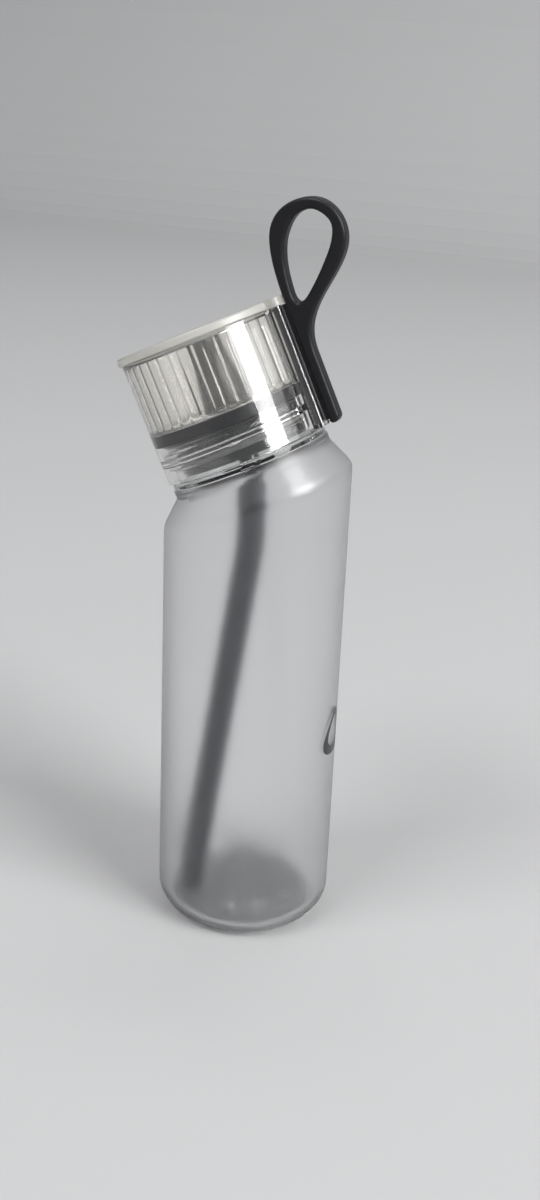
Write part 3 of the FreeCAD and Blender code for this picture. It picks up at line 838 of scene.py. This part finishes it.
def with_directions(points):
    """Adds the direction of travel at each point of a path."""
    path = []
    for k, point in enumerate(points):
        before = points[max(k - 1, 0)]
        after = points[min(k + 1, len(points) - 1)]
        path.append((point, (after - before).normalized()))
    return path


def arc(centre, radius, start, end, steps):
    """Points (x, z) of an arc from start to end, in degrees."""
    made = []
    for step in range(steps + 1):
        a = math.radians(start + (end - start) * step / steps)
        made.append((centre[0] + radius * math.cos(a), centre[1] + radius * math.sin(a)))
    return made


def make_straw(dark, smoky):
    """Stiff elbow out of the stopper, and the flexible straw that hangs from it."""
    crossing = (NECK_X - STRAW_X) / math.sin(TILT)
    reach = ELBOW_BEND * math.tan(TILT / 2)
    straw_top = (NECK @ Vector((0, 0, crossing))).z - reach
    points = [(STRAW_X, z) for z in span(ELBOW_FOOT, straw_top, 3)[:-1]]
    points += arc((STRAW_X - ELBOW_BEND, straw_top), ELBOW_BEND, 0, math.degrees(TILT), 8)
    for height in span(crossing + reach, PLATE_FOOT - 1, 3)[1:]:
        place = NECK @ Vector((0, 0, height))
        points.append((place.x, place.z))
    path = with_directions([Vector((x, 0, z)) for x, z in points])
    tube("elbow_tube", path, ELBOW_R, ELBOW_BORE, dark, ["straw_elbow"])
    curve = arc((STRAW_BEND, STRAW_BEND_TOP), STRAW_BEND, 180, 180 + STRAW_LEAN, 10)
    bend_end = Vector(curve[-1])
    fall = bend_end.y - STRAW_FOOT
    foot = Vector((bend_end.x + fall * math.tan(math.radians(STRAW_LEAN)), STRAW_FOOT))
    points = [(0, z) for z in span(straw_top, STRAW_BEND_TOP, 3)[:-1]] + curve
    points += [bend_end.lerp(foot, share) for share in span(0, 1, 1 / 20)[1:]]
    heading = Matrix.Rotation(math.radians(STRAW_HEADING), 3, "Z")
    turned = [heading @ Vector((x, 0, z)) + Vector((STRAW_X, 0, 0)) for x, z in points]
    path = with_directions(turned)
    tube("straw_tube", path, STRAW_R, STRAW_BORE, smoky, ["straw"])


# ---------------------------------------------------------------- materials


def new_material(name):
    """An empty material, its node tree and its main shader."""
    material = bpy.data.materials.new(name)
    material.use_nodes = True
    nodes = material.node_tree.nodes
    shader = [node for node in nodes if node.type == "BSDF_PRINCIPLED"][0]
    return material, material.node_tree, shader


def noise_node(tree, scale, detail=3):
    """Noise in the object's own space, in lumps of about 1/scale metres."""
    place = tree.nodes.new("ShaderNodeTexCoord")
    noise = tree.nodes.new("ShaderNodeTexNoise")
    noise.inputs["Scale"].default_value = scale
    noise.inputs["Detail"].default_value = detail
    tree.links.new(place.outputs["Object"], noise.inputs["Vector"])
    return noise


def vary(tree, factor, low, high, socket):
    """Drives a number socket between low and high by a factor."""
    span_node = tree.nodes.new("ShaderNodeMapRange")
    span_node.inputs["From Min"].default_value = 0.3
    span_node.inputs["From Max"].default_value = 0.7
    span_node.inputs["To Min"].default_value = low
    span_node.inputs["To Max"].default_value = high
    tree.links.new(factor, span_node.inputs["Value"])
    tree.links.new(span_node.outputs["Result"], socket)


def add_bump(tree, shader, height, strength, distance):
    """Raises the surface by a height socket, at most distance metres."""
    bump = tree.nodes.new("ShaderNodeBump")
    bump.inputs["Strength"].default_value = strength
    bump.inputs["Distance"].default_value = distance
    tree.links.new(height, bump.inputs["Height"])
    tree.links.new(bump.outputs["Normal"], shader.inputs["Normal"])


def mix_colour(tree, factor, first, second, socket):
    """Drives a colour socket between two colours by a factor."""
    mix = tree.nodes.new("ShaderNodeMix")
    mix.data_type = "RGBA"
    mix.inputs["A"].default_value = (*first, 1)
    mix.inputs["B"].default_value = (*second, 1)
    tree.links.new(factor, mix.inputs["Factor"])
    tree.links.new(mix.outputs["Result"], socket)


def clear_material(name, tint, smoothest, roughest, clearness):
    """Clear plastic with a faint unevenness from the mould."""
    material, tree, shader = new_material(name)
    shader.inputs["Transmission Weight"].default_value = clearness
    shader.inputs["IOR"].default_value = CAP_IOR
    ripple = noise_node(tree, 60)
    paler = tuple(shade + 0.012 for shade in tint)
    mix_colour(tree, ripple.outputs["Fac"], tint, paler, shader.inputs["Base Color"])
    vary(tree, ripple.outputs["Fac"], smoothest, roughest, shader.inputs["Roughness"])
    return material


def hazy_material():
    """Translucent plastic of the cap's top plate."""
    material, tree, shader = new_material("hazy_plastic")
    shader.inputs["Transmission Weight"].default_value = 0.75
    shader.inputs["IOR"].default_value = PLATE_IOR
    haze = noise_node(tree, 90)
    cream = (0.73, 0.715, 0.67)
    paler = (0.80, 0.785, 0.745)
    mix_colour(tree, haze.outputs["Fac"], cream, paler, shader.inputs["Base Color"])
    vary(tree, haze.outputs["Fac"], 0.28, 0.4, shader.inputs["Roughness"])
    return material


def frosted_material():
    """Bottle wall: frosted outside below the collar, clear at the collar, the neck and inside."""
    material, tree, shader = new_material("frosted_body")
    shader.inputs["IOR"].default_value = BOTTLE_IOR
    place = tree.nodes.new("ShaderNodeTexCoord")
    cut = tree.nodes.new("ShaderNodeVectorMath")
    cut.operation = "DOT_PRODUCT"
    cut.inputs[1].default_value = tuple(axis)
    tree.links.new(place.outputs["Object"], cut.inputs[0])
    level = axis.dot(Vector(turn["pos_m"])) + (SHOULDER_RISE + COLLAR_BAND - 0.3) * MM
    frost = tree.nodes.new("ShaderNodeMapRange")
    frost.inputs["From Min"].default_value = level
    frost.inputs["From Max"].default_value = level + 0.0006
    frost.inputs["To Min"].default_value = 1
    frost.inputs["To Max"].default_value = 0
    tree.links.new(cut.outputs["Value"], frost.inputs["Value"])
    amount = frost.outputs["Result"]
    mark = printed_mark(tree)
    plain = tree.nodes.new("ShaderNodeMix")
    plain.data_type = "RGBA"
    mix_colour(tree, amount, (0.95, 0.96, 0.96), (0.93, 0.93, 0.94), plain.inputs["A"])
    plain.inputs["B"].default_value = (0.012, 0.012, 0.014, 1)
    tree.links.new(mark, plain.inputs["Factor"])
    tree.links.new(plain.outputs["Result"], shader.inputs["Base Color"])
    for socket, clear, frosted in (("Transmission Weight", 1.0, 0.99), ("Roughness", 0.02, 0.31)):
        blend = tree.nodes.new("ShaderNodeMapRange")
        blend.inputs["To Min"].default_value = clear
        blend.inputs["To Max"].default_value = frosted
        tree.links.new(amount, blend.inputs["Value"])
        wanted = blend.outputs["Result"]
        if socket == "Transmission Weight":
            wanted = calculate(tree, "MULTIPLY", wanted, calculate(tree, "SUBTRACT", 1, mark))
        tree.links.new(wanted, shader.inputs[socket])
    grain = noise_node(tree, 2500, 2)
    add_bump(tree, shader, grain.outputs["Fac"], 0.05, GRAIN_DEPTH)
    return material


def calculate(tree, operation, *values):
    """A math node on sockets and plain numbers; returns its output."""
    node = tree.nodes.new("ShaderNodeMath")
    node.operation = operation
    for place, value in zip(node.inputs, values):
        if isinstance(value, (int, float)):
            place.default_value = value
        else:
            tree.links.new(value, place)
    return node.outputs["Value"]


def printed_mark(tree):
    """1 on a printed drop outline low on the body's +X side, and 0 elsewhere."""
    place = tree.nodes.new("ShaderNodeTexCoord")
    split = tree.nodes.new("ShaderNodeSeparateXYZ")
    tree.links.new(place.outputs["Object"], split.inputs["Vector"])
    middle = MARK_Z * MM
    half_height = MARK_HALF_HEIGHT * MM
    half_width = MARK_HALF_WIDTH * MM
    heading = calculate(tree, "ARCTAN2", split.outputs["Y"], split.outputs["X"])
    turned = calculate(tree, "SUBTRACT", heading, math.radians(MARK_HEADING))
    across = calculate(tree, "MULTIPLY", turned, BODY_R * MM / half_width)
    rise = calculate(tree, "SUBTRACT", split.outputs["Z"], middle)
    up = calculate(tree, "DIVIDE", rise, half_height)
    taper = calculate(tree, "MULTIPLY_ADD", up, -MARK_TAPER, MARK_MIDDLE_WIDTH)
    wide = calculate(tree, "DIVIDE", across, taper)
    up_squared = calculate(tree, "POWER", up, 2)
    distance = calculate(tree, "ADD", up_squared, calculate(tree, "POWER", wide, 2))
    reach = calculate(tree, "SQRT", distance)
    away = calculate(tree, "ABSOLUTE", calculate(tree, "SUBTRACT", reach, 1 - MARK_LINE))
    on_line = calculate(tree, "LESS_THAN", away, MARK_LINE)
    front = calculate(tree, "GREATER_THAN", split.outputs["X"], 0.0)
    return calculate(tree, "MULTIPLY", on_line, front)


def inside_material():
    """Smooth inner face of the bottle wall."""
    material, tree, shader = new_material("bottle_inside")
    shader.inputs["Transmission Weight"].default_value = 1
    shader.inputs["IOR"].default_value = BOTTLE_IOR
    ripple = noise_node(tree, 40)
    colour = shader.inputs["Base Color"]
    mix_colour(tree, ripple.outputs["Fac"], (0.94, 0.95, 0.95), (0.97, 0.97, 0.97), colour)
    vary(tree, ripple.outputs["Fac"], 0.02, 0.08, shader.inputs["Roughness"])
    return material


def dark_material(name, colour, roughness, grain, relief, gloss=0.5):
    """Moulded near-black plastic or silicone with a fine grain."""
    material, tree, shader = new_material(name)
    fine = noise_node(tree, grain)
    lighter = tuple(min(1, c * 1.6 + 0.004) for c in colour)
    mix_colour(tree, fine.outputs["Fac"], colour, lighter, shader.inputs["Base Color"])
    vary(tree, fine.outputs["Fac"], roughness * 0.85, roughness * 1.2, shader.inputs["Roughness"])
    add_bump(tree, shader, fine.outputs["Fac"], relief, GRAIN_DEPTH)
    shader.inputs["Specular IOR Level"].default_value = gloss
    return material


def smoky_material():
    """Smoky translucent straw."""
    material, tree, shader = new_material("smoky_silicone")
    shader.inputs["Transmission Weight"].default_value = 0.15
    shader.inputs["IOR"].default_value = STRAW_IOR
    cloud = noise_node(tree, 120)
    colour = shader.inputs["Base Color"]
    mix_colour(tree, cloud.outputs["Fac"], (0.009, 0.011, 0.016), (0.018, 0.022, 0.031), colour)
    vary(tree, cloud.outputs["Fac"], 0.2, 0.32, shader.inputs["Roughness"])
    return material


def grey_material():
    """Translucent grey silicone of the seals."""
    material, tree, shader = new_material("grey_silicone")
    shader.inputs["Transmission Weight"].default_value = 0.4
    cloud = noise_node(tree, 300)
    mix_colour(tree, cloud.outputs["Fac"], (0.5, 0.5, 0.5), (0.6, 0.6, 0.6), shader.inputs["Base Color"])
    vary(tree, cloud.outputs["Fac"], 0.35, 0.5, shader.inputs["Roughness"])
    return material


# ---------------------------------------------------------------- studio


def make_floor():
    """A plain pale floor that curves up behind the object into a backdrop."""
    bm = bmesh.new()
    bend = BACKDROP_BEND
    outline = [(FLOOR_FRONT, 0.0)]
    for a in span(0, math.pi / 2, 0.1):
        outline.append((FLOOR_BACK + bend * math.sin(a), bend - bend * math.cos(a)))
    outline.append((FLOOR_BACK + bend, BACKDROP_RISE))
    edges = (-FLOOR_HALF_WIDTH, FLOOR_HALF_WIDTH)
    rows = [[bm.verts.new((x, y, z)) for x in edges] for y, z in outline]
    for low, high in zip(rows, rows[1:]):
        bm.faces.new((low[0], low[1], high[1], high[0]))
    mesh = bpy.data.meshes.new("floor")
    bm.to_mesh(mesh)
    bm.free()
    material, _, shader = new_material("studio_floor")
    shader.inputs["Base Color"].default_value = (0.325, 0.325, 0.327, 1)
    shader.inputs["Roughness"].default_value = 0.9
    mesh.materials.append(material)
    floor = bpy.data.objects.new("floor", mesh)
    bpy.context.scene.collection.objects.link(floor)


def make_light(name, place, size, power):
    """A soft rectangular light at place, aimed at the middle of the object."""
    data = bpy.data.lights.new(name, "AREA")
    data.shape = "RECTANGLE"
    data.size = size[0]
    data.size_y = size[1]
    data.energy = power
    lamp = bpy.data.objects.new(name, data)
    lamp.location = place
    lamp.rotation_euler = (Vector(MIDDLE) - Vector(place)).to_track_quat("-Z", "Y").to_euler()
    bpy.context.scene.collection.objects.link(lamp)


def make_camera():
    """A camera above and a little to the right of the object, slightly rolled."""
    data = bpy.data.cameras.new("camera")
    data.lens = LENS
    data.sensor_width = SENSOR
    camera = bpy.data.objects.new("camera", data)
    place = Vector(CAMERA_PLACE)
    aim = Vector(CAMERA_AIM)
    roll = Matrix.Rotation(math.radians(CAMERA_ROLL), 4, "Z")
    look = (aim - place).to_track_quat("-Z", "Y").to_matrix().to_4x4()
    camera.matrix_world = Matrix.Translation(place) @ look @ roll
    bpy.context.scene.collection.objects.link(camera)
    bpy.context.scene.camera = camera


def make_world():
    """Soft surroundings: pale overhead, dim towards the horizon."""
    world = bpy.data.worlds.new("world")
    world.use_nodes = True
    tree = world.node_tree
    background = tree.nodes["Background"]
    place = tree.nodes.new("ShaderNodeTexCoord")
    split = tree.nodes.new("ShaderNodeSeparateXYZ")
    rise = tree.nodes.new("ShaderNodeMapRange")
    rise.interpolation_type = "SMOOTHSTEP"
    rise.inputs["From Min"].default_value = 0.05
    rise.inputs["From Max"].default_value = 0.9
    rise.inputs["To Min"].default_value = HORIZON
    rise.inputs["To Max"].default_value = OVERHEAD
    tree.links.new(place.outputs["Generated"], split.inputs["Vector"])
    tree.links.new(split.outputs["Z"], rise.inputs["Value"])
    tree.links.new(rise.outputs["Result"], background.inputs["Strength"])
    background.inputs["Color"].default_value = (0.96, 0.98, 1, 1)
    bpy.context.scene.world = world
    bpy.context.scene.view_settings.view_transform = "Standard"


def towards(azimuth, elevation, distance):
    """A place seen from the middle of the object in a direction given in degrees."""
    turned = math.radians(azimuth)
    lifted = math.radians(elevation)
    flat = distance * math.cos(lifted)
    height = MIDDLE[2] + distance * math.sin(lifted)
    return (flat * math.cos(turned), flat * math.sin(turned), height)


def build():
    """Makes the materials, every piece of the bottle, and the studio."""
    clear = clear_material("clear_plastic", (0.985, 0.982, 0.97), 0.05, 0.09, 1)
    # The fluted inner wall's warm cream tint is painted warm light, standing in for the cream light seen
    # through the cap's left side; its rougher surface is the wall's own satin finish.
    satin_painted_warm = clear_material("satin_plastic_painted_warm_light", (0.985, 0.96, 0.905), 0.14, 0.2, 0.88)
    frosted = frosted_material()
    dark = dark_material("dark_plastic", (0.010, 0.010, 0.013), 0.12, 400, 0.02)
    rubber = dark_material("dark_silicone", (0.010, 0.010, 0.012), 0.32, 900, 0.08)
    black = dark_material("loop_silicone", (0.005, 0.005, 0.006), 0.38, 1200, 0.12, 0.2)
    grey = grey_material()
    make_bottle(frosted, inside_material())
    make_cap(clear, satin_painted_warm)
    make_disc(hazy_material())
    make_loop(black)
    make_rail(black)
    make_insert(dark, rubber, grey)
    make_straw(dark, smoky_material())
    make_floor()
    make_camera()
    make_world()
    for name, azimuth, elevation, distance, size, power in LIGHTS:
        make_light(name, towards(azimuth, elevation, distance), size, power)


build()
